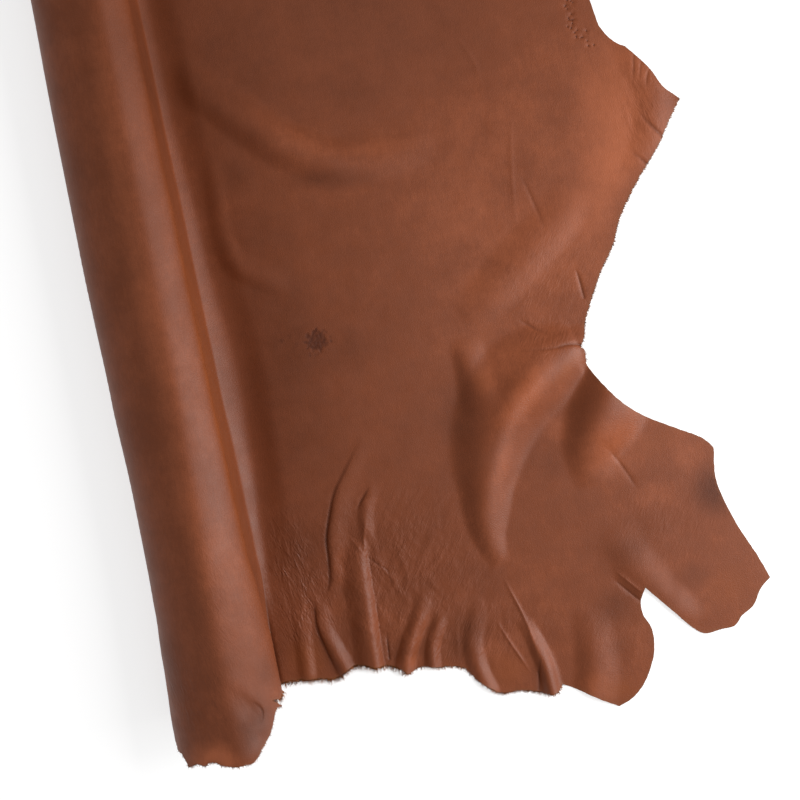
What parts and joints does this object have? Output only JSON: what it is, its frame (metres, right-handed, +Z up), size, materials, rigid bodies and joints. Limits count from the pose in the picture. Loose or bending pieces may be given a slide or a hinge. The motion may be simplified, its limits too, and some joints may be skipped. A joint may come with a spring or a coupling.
{
  "type": "leather side, partly rolled",
  "caption": "Side of brown oiled leather lying grain side up, with its backbone edge rolled under, a shank, a butt lobe and a puckered tail edge.",
  "frame": {"origin": "on the table, under the middle of the whole side's box", "axes": "+Z up from the table; +Y along the roll from the tail end to the neck; +X across from the roll to the belly"},
  "size_m": [0.796, 2.029, 0.116],
  "materials": {
    "leather": "oiled pull-up grain in warm brown, satin, with a pale fibrous cut edge and a suede-like underside"
  },
  "bodies": {
    "root": {"leather_side": "leather"}
  },
  "joints": []
}
